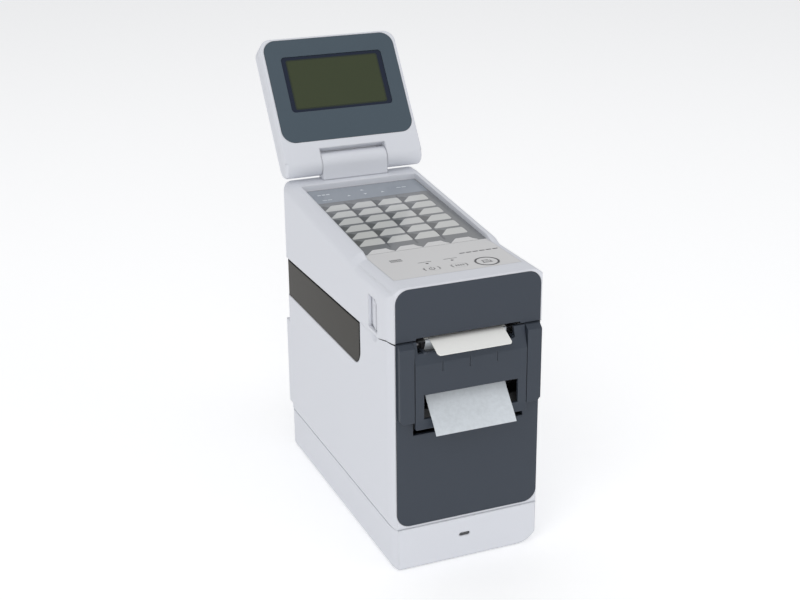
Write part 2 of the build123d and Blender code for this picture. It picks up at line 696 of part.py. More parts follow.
def peeler_cover():
    """The front of the peeler, hinged at its foot, with the slot and the label gap."""
    front = PEEL_FACE
    back = front + PEEL_WALL
    skin = side_profile([
        (front, PEEL_BOTTOM + 5.5), (front, PEEL_EDGE), (-0.6, PEEL_TOP), (1.9, PEEL_TOP),
        (back + 0.4, PEEL_EDGE - 1.5), (back, PEEL_BOTTOM + 5), (back - 0.4, PEEL_BOTTOM), (front - 0.8, PEEL_BOTTOM)],
        -PEEL_HALF, PEEL_HALF)
    skin -= block(NOTCH_X[0], NOTCH_X[1], -8, 8, NOTCH_Z, 200)
    skin -= block(-SLOT_HALF, SLOT_HALF, -8, 8, *SLOT_Z)
    for i in range(3):
        x = -20.7 + i * 19.5
        skin -= block(x - 0.4, x + 0.4, -8, front + 0.5, PEEL_EDGE - 6, PEEL_EDGE + 2)
    for side in (-1, 1):
        ear = side_profile([(back - 0.5, 135), (back - 0.5, 158), (6.0, 157.5), (9.0, 150), (7.0, 146.5)], *sorted((side * 31.2, side * 33.4)))
        skin += ear
        p0, p1 = sorted((side * (PEEL_HALF - 4.5), side * PEEL_HALF))
        skin += rod_x(*PEEL_PIVOT, 2.2, p0, p1) & block(p0, p1, front, 8, 0, 200)
        skin += rod_x(*PEEL_PIVOT, 1.4, *sorted((side * (PEEL_HALF - 1), side * (ARM_X[0] + 3.9))))
        skin -= rod_x(*peel_roller_place(), 1.2 + RUN, *sorted((side * 31, side * 34)))
    return skin


def peel_roller_place():
    reach = PLATEN_R + PEEL_ROLL_R + PAPER_T + 0.8
    angle = math.radians(218)
    return PLATEN_D + reach * math.cos(angle), PLATEN_Z + reach * math.sin(angle)


def peel_roller():
    tube = rod_x(*peel_roller_place(), PEEL_ROLL_R, -30.5, 30.5)
    return tube - rod_x(*peel_roller_place(), 1.2, -32, 32)


def peel_roller_shaft():
    return rod_x(*peel_roller_place(), 1.2, -33.6, 33.6)


# ---------------------------------------------------------------- top cover
def cover_outline():
    """Side view of the cover above the parting line."""
    return [
        (0, 150), (0, TOP_Z), (RAIL_D[0], TOP_Z), (RAIL_D[1], RAIL_FRONT_Z),
        (RAIL_D[2], RAIL_REAR_Z), (RAIL_D[2] + 4, REAR_TOP_Z), (DEPTH, REAR_TOP_Z), (DEPTH, 150),
    ]


def top_cover():
    body = side_profile(cover_outline(), -COVER_HALF, COVER_HALF)
    long_top = [
        e for e in body.edges()
        if abs(abs(e.center().X) - COVER_HALF) < 0.01 and e.center().Z > TOP_Z - 1
        and abs(e.center().Y - y_at(0)) > 1 and abs(e.center().Y - y_at(DEPTH)) > 1
    ]
    body = fillet(long_top, TOP_RADIUS)
    body &= prism(plan(COVER_HALF, 0, DEPTH), 100, 260)
    rim = [e for e in body.edges() if abs(e.center().Y - y_at(0)) < 0.3 and e.center().Z > TOP_Z - 3]
    body = fillet(rim, 1.0)
    edge_d, edge_z = DEPTH - REAR_EDGE, REAR_TOP_Z - REAR_EDGE
    corner = block(-60, 60, edge_d, DEPTH + 1, edge_z, REAR_TOP_Z + 1)
    body -= corner - rod_x(edge_d, edge_z, REAR_EDGE, -60, 60)
    body &= case_top(-60, 60, lift=SKIN_GAP, top=260)
    inner_top = TOP_Z - 3.3
    inside = COVER_HALF - WALL
    cavity = side_profile([
        (PANEL_T + WALL, 140), (PANEL_T + WALL, inner_top), (GLASS_D[0], inner_top), (GLASS_D[1] + 1, GLASS_REAR_Z - 3.6),
        (GLASS_D[1] + 1, REAR_TOP_Z - WALL - 1), (DEPTH - WALL, REAR_TOP_Z - WALL - 1), (DEPTH - WALL, 140)], -inside, inside)
    rail = COVER_HALF - TOP_RADIUS + 0.5
    cavity -= side_profile([(60, TOP_Z - 12), (60, 260), (DEPTH, 260), (DEPTH, TOP_Z - 2)], rail, 60)
    cavity -= side_profile([(60, TOP_Z - 12), (60, 260), (DEPTH, 260), (DEPTH, TOP_Z - 2)], -60, -rail)
    body -= cavity
    recess = front_plate(PANEL_HALF + FIT, 100, PANEL_TOP + FIT, PANEL_RADIUS, PANEL_T + 1, top=True)
    body -= Pos(0, y_at(-1), 0) * recess
    body -= block(-PANEL_HALF + 4, PANEL_HALF - 4, -1, PANEL_T + WALL + 1, 100, 178)
    glass = GLASS_HALF + FIT
    near, far = GLASS_D[0] - 0.1, GLASS_D[1] + FIT
    body -= side_profile(
        [(near, glass_z(near) - GLASS_T), (near, 260), (far, 260), (far, glass_z(far) - GLASS_T)],
        -glass, glass)
    body -= block(-glass, glass, FILM_D - FIT, GLASS_D[0] + 0.1, TOP_Z - FILM_T, TOP_Z + 20)
    body -= rod_z(PRINT_BUTTON[0], PRINT_BUTTON[1], PRINT_BUTTON[2] + BUTTON_GAP, TOP_Z - 10, TOP_Z + 5)
    for x, depth in (FEED_BUTTON, POWER_BUTTON):
        body -= oval(x, depth, OVAL[0] + 2 * BUTTON_GAP, OVAL[1] + 2 * BUTTON_GAP, TOP_Z - 10, TOP_Z + 5)
    for side in (-1, 1):
        x0, x1 = sorted((side * (inside - 1), side * (COVER_HALF + 1)))
        hole = block(x0, x1, *LEVER_D, *LEVER_Z)
        hole = chamfer([e for e in hole.edges().filter_by(Axis.X) if e.center().Z > LEVER_Z[1] - 1 and e.center().Y < y_at(LEVER_D[0] + 1)], 3.0)
        body -= hole
        boss = rod_x(*LATCH_AXIS, 5.0, *sorted((side * 44, side * 47)))
        boss += block(*sorted((side * 44, side * 47)), LATCH_AXIS[0] - 5, LATCH_AXIS[0] + 5, LATCH_AXIS[1], inner_top + 0.5)
        body += boss - rod_x(*LATCH_AXIS, LATCH_SHAFT_R + RUN, *sorted((side * 43, side * 48)))
    axis_d, axis_z = hinge_axis()
    edge = rod_x(axis_d, axis_z, HINGE_R, -COVER_HALF + REAR_RADIUS, COVER_HALF - REAR_RADIUS)
    edge += block(-COVER_HALF + REAR_RADIUS, COVER_HALF - REAR_RADIUS, axis_d, DEPTH, axis_z, axis_z + 8)
    body -= block(-70, 70, axis_d, DEPTH + 5, axis_z - 10, axis_z)
    body += edge
    for side in (-1, 1):
        x0, x1 = sorted((side * (KNUCKLE_X[0] - 0.3), side * (KNUCKLE_X[1] + 0.3)))
        body -= block(x0, x1, axis_d - HINGE_R - 2, DEPTH + 1, axis_z - 8, axis_z + HINGE_R + 0.6)
        body -= rod_x(axis_d, axis_z, HINGE_PIN_R + RUN, *sorted((side * (KNUCKLE_X[0] - 5), side * (KNUCKLE_X[1] + 5))))
    for side in (-1, 1):
        ear = block(*sorted((side * 39.5, side * 41.5)), 26, 34, 170, inner_top + 0.5)
        ear -= rod_x(*LATCH_AXIS, LATCH_SHAFT_R + CLEAR, *sorted((side * 39, side * 42)))
        body += ear - rod_x(*HEAD_PIVOT, 1.5 + RUN, *sorted((side * 39, side * 42)))
    return body


HEAD_PIVOT = (30.0, 173.5)


def head_carrier():
    """Rocking bracket over the platen that holds the print head."""
    plate = block(-36, 36, 8, 32, 171.2, 174.0)
    plate += rod_x(*HEAD_PIVOT, 3.0, -36, 36)
    for side in (-1, 1):
        plate += rod_z(side * 20, 14, 3.2, 173.5, 176.0)
    return plate + rod_x(*HEAD_PIVOT, 1.5, -41, 41)


def print_head():
    head = block(-32, 32, 7.0, 26, 167.0, 171.2)
    head += side_profile([(9.0, 167.0), (10.0, WEB_Z + PAPER_T / 2 + 0.4), (19.0, WEB_Z + PAPER_T / 2 + 0.4), (22.0, 167.0)], -32, 32)
    return head


def cover_front_panel():
    panel = Pos(0, FRONT, 0) * front_plate(PANEL_HALF, PART_FRONT + SKIN_GAP + 0.3, PANEL_TOP, PANEL_RADIUS, PANEL_T, top=True)
    return panel - block(-37.5, 37.0, -1, PANEL_T + 1, 100, PART_FRONT + SKIN_GAP + 1.6)


def latch_shaft():
    return rod_x(*LATCH_AXIS, LATCH_SHAFT_R, -50, 50)


def release_lever(side):
    """Finger paddle in the side recess, with the hook that holds the cover shut."""
    axis_d, axis_z = LATCH_AXIS
    inside = COVER_HALF - WALL
    plate = block(inside - 2.2, inside - 0.4, LEVER_D[0] + 1, LEVER_D[1] + 2, LEVER_Z[0] + 0.9, axis_z + 2)
    plate += rod_x(axis_d, axis_z, 4.0, 47.4, inside - 0.4)
    front_d, rear_d = LEVER_D[0] + 2.9, LEVER_D[1] - 0.4
    slope = Polyline(
        (inside - 0.5, y_at(front_d)), (COVER_HALF - 0.4, y_at(front_d)), (inside, y_at(rear_d)),
        (inside - 0.5, y_at(rear_d)), close=True)
    plate += prism(make_face(slope), LEVER_Z[0] + 0.9, LEVER_Z[1] - 1.8)
    hook_z = CATCH[1] - CATCH_R - 0.2
    lip = CATCH[0] - CATCH_R - CLEAR
    hook = side_profile([
        (axis_d - 2.5, axis_z), (axis_d + 2.5, axis_z), (38.6, 170), (38.6, hook_z), (lip, hook_z), (lip - 1, hook_z - 3.5), (35.6, hook_z - 3.5)],
        46.4 + 1.0, 49.4)
    plate += hook
    plate -= rod_x(axis_d, axis_z, LATCH_SHAFT_R, 40, 50.1)
    return plate if side > 0 else mirror(plate, about=Plane.YZ)


def touch_panel():
    return side_profile([
        (GLASS_D[0], glass_z(GLASS_D[0])), (GLASS_D[1], glass_z(GLASS_D[1])),
        (GLASS_D[1], glass_z(GLASS_D[1]) - GLASS_T), (GLASS_D[0], glass_z(GLASS_D[0]) - GLASS_T)], -GLASS_HALF, GLASS_HALF)


def fascia_film():
    film = block(-GLASS_HALF, GLASS_HALF, FILM_D, GLASS_D[0] - 0.1, TOP_Z - FILM_T, TOP_Z)
    film -= rod_z(PRINT_BUTTON[0], PRINT_BUTTON[1], PRINT_BUTTON[2] + BUTTON_GAP, TOP_Z - 5, TOP_Z + 5)
    for x, depth in (FEED_BUTTON, POWER_BUTTON):
        film -= oval(x, depth, OVAL[0] + 2 * BUTTON_GAP, OVAL[1] + 2 * BUTTON_GAP, TOP_Z - 5, TOP_Z + 5)
    for x, depth in STATUS_LIGHTS:
        film -= rod_z(x, depth, 1.1, TOP_Z - 5, TOP_Z + 5)
    return film


STATUS_LIGHTS = ((-13.0, 38.4), (4.9, 38.1))


def status_lights():
    return Compound([rod_z(x, depth, 1.0, TOP_Z - FILM_T, TOP_Z - 0.05) for x, depth in STATUS_LIGHTS])


def print_button():
    x, depth, radius = PRINT_BUTTON
    cap = rod_z(x, depth, radius, TOP_Z - BUTTON_T, TOP_Z)
    return cap + rod_z(x, depth, 1.8, TOP_Z - 4.4, TOP_Z - 1)


def oval_button(place):
    cap = oval(*place, *OVAL, TOP_Z - BUTTON_T, TOP_Z)
    return cap + rod_z(*place, 1.5, TOP_Z - 4.4, TOP_Z - 1)


def key_board():
    """Switch board under the three buttons, hung from the cover's roof."""
    board = block(-26, 38, 16, 40, TOP_Z - 7.0, TOP_Z - 5.4)
    for x in (-22, 35.5):
        board += rod_z(x, 36, 1.6, TOP_Z - 5.6, TOP_Z - 3.3)
    return board


def cover_hinge_pins():
    axis_d, axis_z = hinge_axis()
    pin = rod_x(axis_d, axis_z, HINGE_PIN_R, KNUCKLE_X[0] - 4.5, KNUCKLE_X[1] + 4.5)
    return Compound(both_sides(pin))


# ---------------------------------------------------------------- display
def display_place():
    """Location of the display: its hinge axis is local X, its face looks along local Z."""
    tilt = math.radians(DISPLAY_TILT)
    return Plane(
        origin=(0, y_at(DISPLAY_AXIS_D), DISPLAY_AXIS_Z),
        x_dir=(1, 0, 0),
        z_dir=(0, -math.sin(tilt), math.cos(tilt)),
    ).location


def display_case():
    """Outer shape of the display in its own frame."""
    slab = Pos(0, DISPLAY_TOP / 2, (DISPLAY_FRONT - DISPLAY_BACK) / 2) * Box(2 * DISPLAY_HALF, DISPLAY_TOP, DISPLAY_FRONT + DISPLAY_BACK)
    top_corners = [e for e in slab.edges().filter_by(Axis.Z) if e.center().Y > DISPLAY_TOP - 1]
    slab = fillet(top_corners, DISPLAY_RADIUS)
    back_rim = [e for e in slab.edges() if abs(e.center().Z + DISPLAY_BACK) < 0.01 and e.center().Y > 1]
    slab = fillet(back_rim, 3.0)
    front_rim = [e for e in slab.edges() if abs(e.center().Z - DISPLAY_FRONT) < 0.01 and e.center().Y > 1]
    slab = fillet(front_rim, 1.0)
    barrel = Rot(0, 90, 0) * Cylinder(DISPLAY_FRONT, 2 * DISPLAY_HALF)
    barrel = fillet(barrel.edges().filter_by(GeomType.CIRCLE), 2.5)
    return slab + barrel


def display_split(above):
    """Half space in front of the seam (or behind it) between the two shells."""
    size = 400
    z = size / 2 if above else -size / 2
    return Pos(0, 0, z) * Box(size, size, size)


def display_notch():
    half = NECK_HALF + 0.3
    notch = Pos(0, NOTCH_TOP - 20, 0) * Box(2 * half, 40, 60)
    return notch


def display_hollow():
    inner = DISPLAY_HALF - WALL
    low, high = NOTCH_TOP + WALL, DISPLAY_TOP - WALL
    depth = DISPLAY_FRONT + DISPLAY_BACK - 2 * WALL
    return Pos(0, (low + high) / 2, (DISPLAY_FRONT - DISPLAY_BACK) / 2) * Box(2 * inner - 4, high - low - 2, depth)


def display_pin():
    return display_place() * (Rot(0, 90, 0) * Cylinder(DISPLAY_PIN_R, 2 * 44))


def bezel_shape(grow, z0, z1):
    low, high = BEZEL_Y
    plate = Box(2 * (BEZEL_HALF + grow), high - low + 2 * grow, z1 - z0)
    plate = fillet(plate.edges().filter_by(Axis.Z), 10.0 + grow)
    return Pos(0, (low + high) / 2, (z0 + z1) / 2) * plate


def lcd_opening(grow, z0, z1):
    low, high = LCD_Y
    plate = Box(2 * (LCD_HALF + grow), high - low + 2 * grow, z1 - z0)
    plate = fillet(plate.edges().filter_by(Axis.Z), 3.0)
    return Pos(0, (low + high) / 2, (z0 + z1) / 2) * plate


def display_front_shell():
    shell = (display_case() - display_notch() - display_hollow()) & display_split(True)
    shell -= bezel_shape(FIT, DISPLAY_FRONT - BEZEL_T, DISPLAY_FRONT + 5)
    shell -= lcd_opening(1.0, -20, DISPLAY_FRONT)
    shell -= Rot(0, 90, 0) * Cylinder(DISPLAY_PIN_R + RUN, 2 * 44.3)
    return display_place() * shell


def display_rear_shell():
    shell = (display_case() - display_notch() - display_hollow()) & display_split(False)
    shell -= Rot(0, 90, 0) * Cylinder(DISPLAY_PIN_R + RUN, 2 * 44.3)
    return display_place() * shell


def display_bezel():
    bezel = bezel_shape(0, DISPLAY_FRONT - BEZEL_T, DISPLAY_FRONT)
    bezel -= lcd_opening(0, 0, 20)
    return display_place() * bezel


def display_window():
    """Clear window set into the bezel."""
    return display_place() * lcd_opening(-FIT, DISPLAY_FRONT - BEZEL_T, DISPLAY_FRONT - 0.5)


def lcd_module():
    low, high = LCD_Y
    glass = Pos(0, (low + high) / 2, DISPLAY_FRONT - BEZEL_T - 2.6) * Box(2 * LCD_HALF - 1, high - low - 1, 2.6)
    board = Pos(0, (low + high) / 2, DISPLAY_FRONT - BEZEL_T - 5.2) * Box(2 * LCD_HALF + 8, high - low + 8, 1.6)
    stand = Pos(0, (low + high) / 2, DISPLAY_FRONT - BEZEL_T - 4.2) * Box(2 * LCD_HALF - 3, high - low - 3, 1.4)
    return display_place() * (glass + stand + board)


def hinge_neck():
    """Neck on the cover's rear rim that carries the display's pin."""
    axis_d, axis_z = DISPLAY_AXIS_D, DISPLAY_AXIS_Z
    neck = rod_x(axis_d, axis_z, DISPLAY_FRONT - 0.3, -NECK_HALF, NECK_HALF)
    neck += block(-NECK_HALF, NECK_HALF, axis_d - DISPLAY_FRONT + 0.3, DEPTH - 3.2, REAR_TOP_Z, axis_z)
    return neck - rod_x(axis_d, axis_z, DISPLAY_PIN_R, -NECK_HALF - 1, NECK_HALF + 1)


# ---------------------------------------------------------------- all pieces
def pieces():
    return {
        "rubber_feet": rubber_feet(),
        "base_tray": base_tray(),
        "base_indicator": base_indicator(),
        "battery_pack": battery_pack(),
        "lower_case": lower_case(),
        "front_panel": front_panel(),
        "side_windows": side_windows(),
        "rear_housing": rear_housing(),
        "dc_jack": dc_jack(),
        "usb_port": usb_port(),
        "lan_port": lan_port(),
        "serial_port": serial_port(),
        "main_board": main_board(),
        "inner_frame": inner_frame(),
        "platen_bearings": platen_bearings(),
        "platen_shaft": platen_shaft(),
        "platen_rubber": platen_rubber(),
        "platen_gear": drive_gear(0, PLATEN_TEETH, SHAFT_R),
        "idler_gear": drive_gear(1, IDLER_TEETH, 2.0 + RUN),
        "motor_pinion": drive_gear(2, MOTOR_TEETH, 1.5),
        "motor_shaft": motor_shaft(),
        "stepper_motor": stepper_motor(),
        "peel_bar": peel_bar(),
        "catch_pins": catch_pins(),
        "roll_core": roll_core(),
        "label_roll": label_roll(),
        "label_web": label_web(),
        "front_label": front_label(),
        "liner_strip": liner_strip(),
        "roll_guide_left": roll_guide(-1),
        "roll_guide_right": roll_guide(1),
        "guide_pinion": guide_pinion(),
        "guide_rail": guide_rail(),
        "peeler_arm_left": peeler_arm(-1),
        "peeler_arm_right": peeler_arm(1),
        "peeler_cover": peeler_cover(),
        "peel_roller": peel_roller(),
        "peel_roller_shaft": peel_roller_shaft(),
        "cover_hinge_pins": cover_hinge_pins(),
        "top_cover": top_cover(),
        "cover_front_panel": cover_front_panel(),
        "head_carrier": head_carrier(),
        "print_head": print_head(),
        "latch_shaft": latch_shaft(),
        "release_lever_left": release_lever(-1),
        "release_lever_right": release_lever(1),
        "touch_panel": touch_panel(),
        "fascia_film": fascia_film(),
        "status_lights": status_lights(),
        "print_button": print_button(),
        "feed_button": oval_button(FEED_BUTTON),
        "power_button": oval_button(POWER_BUTTON),
        "key_board": key_board(),
        "hinge_neck": hinge_neck(),
        "display_pin": display_pin(),
        "display_front_shell": display_front_shell(),
        "display_rear_shell": display_rear_shell(),
        "display_bezel": display_bezel(),
        "display_window": display_window(),
        "lcd_module": lcd_module(),
    }


os.makedirs("parts", exist_ok=True)
for name, shape in pieces().items():
    export_step(shape, f"parts/{name}.step")
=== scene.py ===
import json
import math

import bmesh
import bpy
from mathutils import Matrix, Vector


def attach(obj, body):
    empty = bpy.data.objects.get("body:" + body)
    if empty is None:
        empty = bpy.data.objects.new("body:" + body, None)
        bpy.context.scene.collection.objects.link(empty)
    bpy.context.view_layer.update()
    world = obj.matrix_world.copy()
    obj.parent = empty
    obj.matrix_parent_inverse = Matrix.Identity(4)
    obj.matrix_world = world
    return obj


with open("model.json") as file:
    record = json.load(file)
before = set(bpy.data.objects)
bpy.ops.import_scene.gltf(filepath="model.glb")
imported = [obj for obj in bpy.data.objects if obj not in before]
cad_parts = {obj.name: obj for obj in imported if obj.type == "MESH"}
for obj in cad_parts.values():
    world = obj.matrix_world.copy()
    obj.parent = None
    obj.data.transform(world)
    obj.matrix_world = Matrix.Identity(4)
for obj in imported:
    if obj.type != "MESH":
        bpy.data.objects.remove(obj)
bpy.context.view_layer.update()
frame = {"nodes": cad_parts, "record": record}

# Dimensions that the applied detail shares with the CAD frame, in metres.
FRONT = -0.1305                 # y of the dark front panels; depths are counted back from here
TOP_Z = 0.2023                  # height of the flat control fascia
GLASS_FRONT = 0.070             # depth where the touch panel starts to rise
GLASS_RISE = (0.2126 - TOP_Z) / 0.126
DISPLAY_AXIS = (0.211, 0.2284)  # depth and height of the display hinge
DISPLAY_FACE = 0.008            # the display window's face, out from the hinge axis
TILT = math.radians(55.4)       # the display at rest, from flat
CASE_HALF = 0.0542              # half the width of the case
CORNER_RUN = 0.012              # how far a front corner of the case reaches along the side
CORNER_RADIUS = 0.03005
SHADOW_BASE = 0.05386             # where the painted window shadows start, just outside the windows
PARTING = ((0, 165.2), (9, 165.2), (22, 161.8), (215, 158.0))   # the case's top edge: depth, height, mm

# Thickness of the applied detail over its surface, and how far it reaches under it, in metres.
SHADE, RULE, PRINT, MARK, VIEW = 0.00003, 0.00004, 0.00006, 0.00009, 0.00012
INTO_SURFACE = 0.00002

# What all the surfaces share.
BROAD_SCALE = 18.0              # the slow change of colour and gloss
FINE_SHARE = 0.55               # how much of the colour change is the fine grain
GLOSS_SPREAD = (-0.05, 0.06)
RELIEF = 0.00008                # the grain's height in metres
# Where the painted highlight on softened edges starts and where it is full.
HIGHLIGHT_FROM, HIGHLIGHT_FULL = 0.995, 0.80   # cosine between the softened and the flat normal


# ------------------------------------------------------------ materials
def node(tree, kind, **sockets):
    made = tree.nodes.new(kind)
    for name, value in sockets.items():
        made.inputs[name.replace("_", " ")].default_value = value
    return made


def noise(tree, vector, scale, detail, roughness):
    made = node(tree, "ShaderNodeTexNoise", Scale=scale, Detail=detail, Roughness=roughness)
    tree.links.new(vector, made.inputs["Vector"])
    return made


def blend(tree, factor, first, second):
    """Mix two colours; first may be a socket or a colour."""
    made = tree.nodes.new("ShaderNodeMix")
    made.data_type = "RGBA"
    if isinstance(first, tuple):
        made.inputs["A"].default_value = (*first, 1)
    else:
        tree.links.new(first, made.inputs["A"])
    made.inputs["B"].default_value = (*second, 1)
    tree.links.new(factor, made.inputs["Factor"])
    return made.outputs["Result"]


def scaled(colour, gain, lift=0.0):
    return tuple(min(1, c * gain + lift) for c in colour)


def multiply(tree, value, gain, extra=None):
    """value times gain, plus extra where it is given."""
    made = tree.nodes.new("ShaderNodeMath")
    made.operation = "MULTIPLY" if extra is None else "MULTIPLY_ADD"
    made.inputs[1].default_value = gain
    tree.links.new(value, made.inputs[0])
    if extra is not None:
        tree.links.new(extra, made.inputs[2])
    return made.outputs[0]


def edge_highlight_mask(tree, soft, amount):
    """Mask of the painted edge highlight: where the softened normal leaves the flat one, from 0 to
    amount.
    """
    flat = tree.nodes.new("ShaderNodeNewGeometry")
    turned = tree.nodes.new("ShaderNodeVectorMath")
    turned.operation = "DOT_PRODUCT"
    tree.links.new(soft.outputs["Normal"], turned.inputs[0])
    tree.links.new(flat.outputs["Normal"], turned.inputs[1])
    ramp = tree.nodes.new("ShaderNodeMapRange")
    ramp.inputs["From Min"].default_value = HIGHLIGHT_FROM
    ramp.inputs["From Max"].default_value = HIGHLIGHT_FULL
    ramp.inputs["To Max"].default_value = amount
    tree.links.new(turned.outputs["Value"], ramp.inputs["Value"])
    return ramp.outputs["Result"]


def moulded(name, colour, rough, grain, bump, tint=0.04, edge=0.0003, coat=0.0, metallic=0.0,
            specular=0.5, edge_highlight=0.0, stretch=(1, 1, 1)):
    """A procedural surface: fine grain, slow colour change, softened edges with a painted highlight."""
    mat = bpy.data.materials.new(name)
    mat.use_nodes = True
    tree = mat.node_tree
    link = tree.links.new
    shader = tree.nodes["Principled BSDF"]
    shader.inputs["Metallic"].default_value = metallic
    shader.inputs["Coat Weight"].default_value = coat
    shader.inputs["Coat Roughness"].default_value = 0.08
    shader.inputs["Specular IOR Level"].default_value = specular
    place = tree.nodes.new("ShaderNodeTexCoord")
    scale = tree.nodes.new("ShaderNodeMapping")
    scale.inputs["Scale"].default_value = stretch
    link(place.outputs["Object"], scale.inputs["Vector"])
    fine = noise(tree, scale.outputs["Vector"], grain, 4.0, 0.62)
    broad = noise(tree, scale.outputs["Vector"], BROAD_SCALE, 3.0, 0.5)
    patches = multiply(tree, broad.outputs["Fac"], 1 - FINE_SHARE)
    patches = multiply(tree, fine.outputs["Fac"], FINE_SHARE, patches)
    colour_out = blend(tree, patches, scaled(colour, 1 - tint), scaled(colour, 1 + tint))
    soft = None
    if edge:
        soft = tree.nodes.new("ShaderNodeBevel")
        soft.samples = 6
        soft.inputs["Radius"].default_value = edge
    # Painted highlight: the colour is lightened where the edges are softened.
    if edge_highlight:
        colour_out = blend(tree, edge_highlight_mask(tree, soft, edge_highlight), colour_out, scaled(colour, 1.4, 0.04))
    link(colour_out, shader.inputs["Base Color"])
    gloss = tree.nodes.new("ShaderNodeMapRange")
    gloss.inputs["To Min"].default_value = rough + GLOSS_SPREAD[0]
    gloss.inputs["To Max"].default_value = rough + GLOSS_SPREAD[1]
    link(broad.outputs["Fac"], gloss.inputs["Value"])
    link(gloss.outputs["Result"], shader.inputs["Roughness"])
    relief = node(tree, "ShaderNodeBump", Strength=bump, Distance=RELIEF)
    link(fine.outputs["Fac"], relief.inputs["Height"])
    if soft:
        link(soft.outputs["Normal"], relief.inputs["Normal"])
    link(relief.outputs["Normal"], shader.inputs["Normal"])
    return mat


MATS = {
    "body_plastic": moulded("body_plastic", (0.69, 0.705, 0.75), 0.44, 2600, 0.35, 0.015, 0.0016,
                            edge_highlight=0.1),
    "dark_plastic": moulded("dark_plastic", (0.036, 0.046, 0.063), 0.46, 3200, 0.6, 0.10, 0.0008,
                            specular=0.38, edge_highlight=0.45),
    "black_plastic": moulded("black_plastic", (0.02, 0.02, 0.022), 0.5, 2600, 0.5, 0.12, 0.0003),
    "guide_plastic": moulded("guide_plastic", (0.30, 0.32, 0.35), 0.45, 2600, 0.4, 0.05, 0.0003),
    "smoked_window": moulded("smoked_window", (0.045, 0.042, 0.036), 0.24, 900, 0.05, 0.16, 0.0003,
                             specular=0.04),
    "display_bezel": moulded("display_bezel", (0.053, 0.079, 0.102), 0.40, 2800, 0.4, 0.06, 0.0003),
    "display_window": moulded("display_window", (0.006, 0.012, 0.03), 0.16, 600, 0.03, 0.10, 0.0002,
                              coat=0.2, specular=0.3),
    "lcd_glass": moulded("lcd_glass", (0.029, 0.040, 0.011), 0.35, 5000, 0.1, 0.08, 0.0),
    "touch_glass": moulded("touch_glass", (0.19, 0.197, 0.205), 0.14, 500, 0.03, 0.06, 0.0002, coat=0.3),
    "fascia_film": moulded("fascia_film", (0.66, 0.655, 0.655), 0.48, 3600, 0.3, 0.02, 0.0002),
    "light_pipe": moulded("light_pipe", (0.05, 0.05, 0.055), 0.2, 1500, 0.1, 0.1, 0.0002, coat=0.3),
    "bearing_plastic": moulded("bearing_plastic", (0.6, 0.6, 0.56), 0.4, 1500, 0.2, 0.05, 0.0002),
    "gear_plastic": moulded("gear_plastic", (0.72, 0.72, 0.67), 0.4, 1500, 0.2, 0.05, 0.0002),
    "rubber": moulded("rubber", (0.02, 0.02, 0.02), 0.8, 1800, 0.8, 0.15, 0.0003),
    "platen_rubber": moulded("platen_rubber", (0.035, 0.035, 0.04), 0.7, 4000, 0.6, 0.15, 0.0002,
                             stretch=(0.2, 1, 1)),
    "steel": moulded("steel", (0.55, 0.55, 0.56), 0.3, 1500, 0.25, 0.06, 0.0002, metallic=1.0,
                     stretch=(0.05, 1, 1)),
    "plated_steel": moulded("plated_steel", (0.6, 0.6, 0.6), 0.22, 1200, 0.15, 0.05, 0.0002,
                            metallic=1.0),
    "brass": moulded("brass", (0.62, 0.46, 0.2), 0.3, 1500, 0.2, 0.08, 0.0002, metallic=1.0),
    "circuit_board": moulded("circuit_board", (0.025, 0.14, 0.06), 0.35, 1200, 0.3, 0.15, 0.0002,
                             coat=0.3),
    "cardboard": moulded("cardboard", (0.42, 0.30, 0.19), 0.85, 1400, 0.9, 0.15, 0.0),
    "label_paper": moulded("label_paper", (0.93, 0.93, 0.90), 0.55, 2200, 0.25, 0.015, 0.0),
    "liner_paper": moulded("liner_paper", (0.655, 0.695, 0.73), 0.45, 330, 0.3, 0.26, 0.0),
}
for entry in frame["record"]["subparts"]:
    target = frame["nodes"].get(entry["node"])
    if target is None:
        continue
    target.data.materials.clear()
    target.data.materials.append(MATS[entry["material_slot"]])

# ------------------------------------------------------------ printed and applied detail
PRINTS = {
    "print_light": moulded("print_light", (0.60, 0.605, 0.59), 0.16, 900, 0.03, 0.05, 0.0, coat=0.4),
    "print_band": moulded("print_band", (0.27, 0.30, 0.34), 0.14, 700, 0.03, 0.05, 0.0, coat=0.4),
    "print_grid": moulded("print_grid", (0.10, 0.104, 0.106), 0.16, 700, 0.03, 0.10, 0.0, coat=0.4),
    "print_white": moulded("print_white", (0.62, 0.66, 0.70), 0.2, 900, 0.03, 0.03, 0.0),
    "print_dark": moulded("print_dark", (0.05, 0.05, 0.055), 0.5, 1800, 0.1, 0.08, 0.0),
    "print_grey": moulded("print_grey", (0.075, 0.075, 0.08), 0.5, 1800, 0.1, 0.08, 0.0),
    # Painted shade for the rim of the recessed LCD.
    "lcd_edge_shade": moulded("lcd_edge_shade", (0.014, 0.022, 0.010), 0.3, 5000, 0.05, 0.1, 0.0),
    # Black for the painted shadows along the parting gap and the side windows' edges.
    "shadow_black": moulded("shadow_black", (0.008, 0.008, 0.009), 0.85, 1800, 0.3, 0.1, 0.0, specular=0.02),
}


def on_fascia(x, d, h):
    return Vector((x, FRONT + d, TOP_Z + h))


def on_glass(x, d, h):
    return Vector((x, FRONT + d, TOP_Z + GLASS_RISE * (d - GLASS_FRONT) + h))


def on_display(x, y, h):
    along = Vector((0, math.cos(TILT), math.sin(TILT)))
    out = Vector((0, -math.sin(TILT), math.cos(TILT)))
    depth, height = DISPLAY_AXIS
    return Vector((x, FRONT + depth, height)) + along * y + out * (DISPLAY_FACE + h)


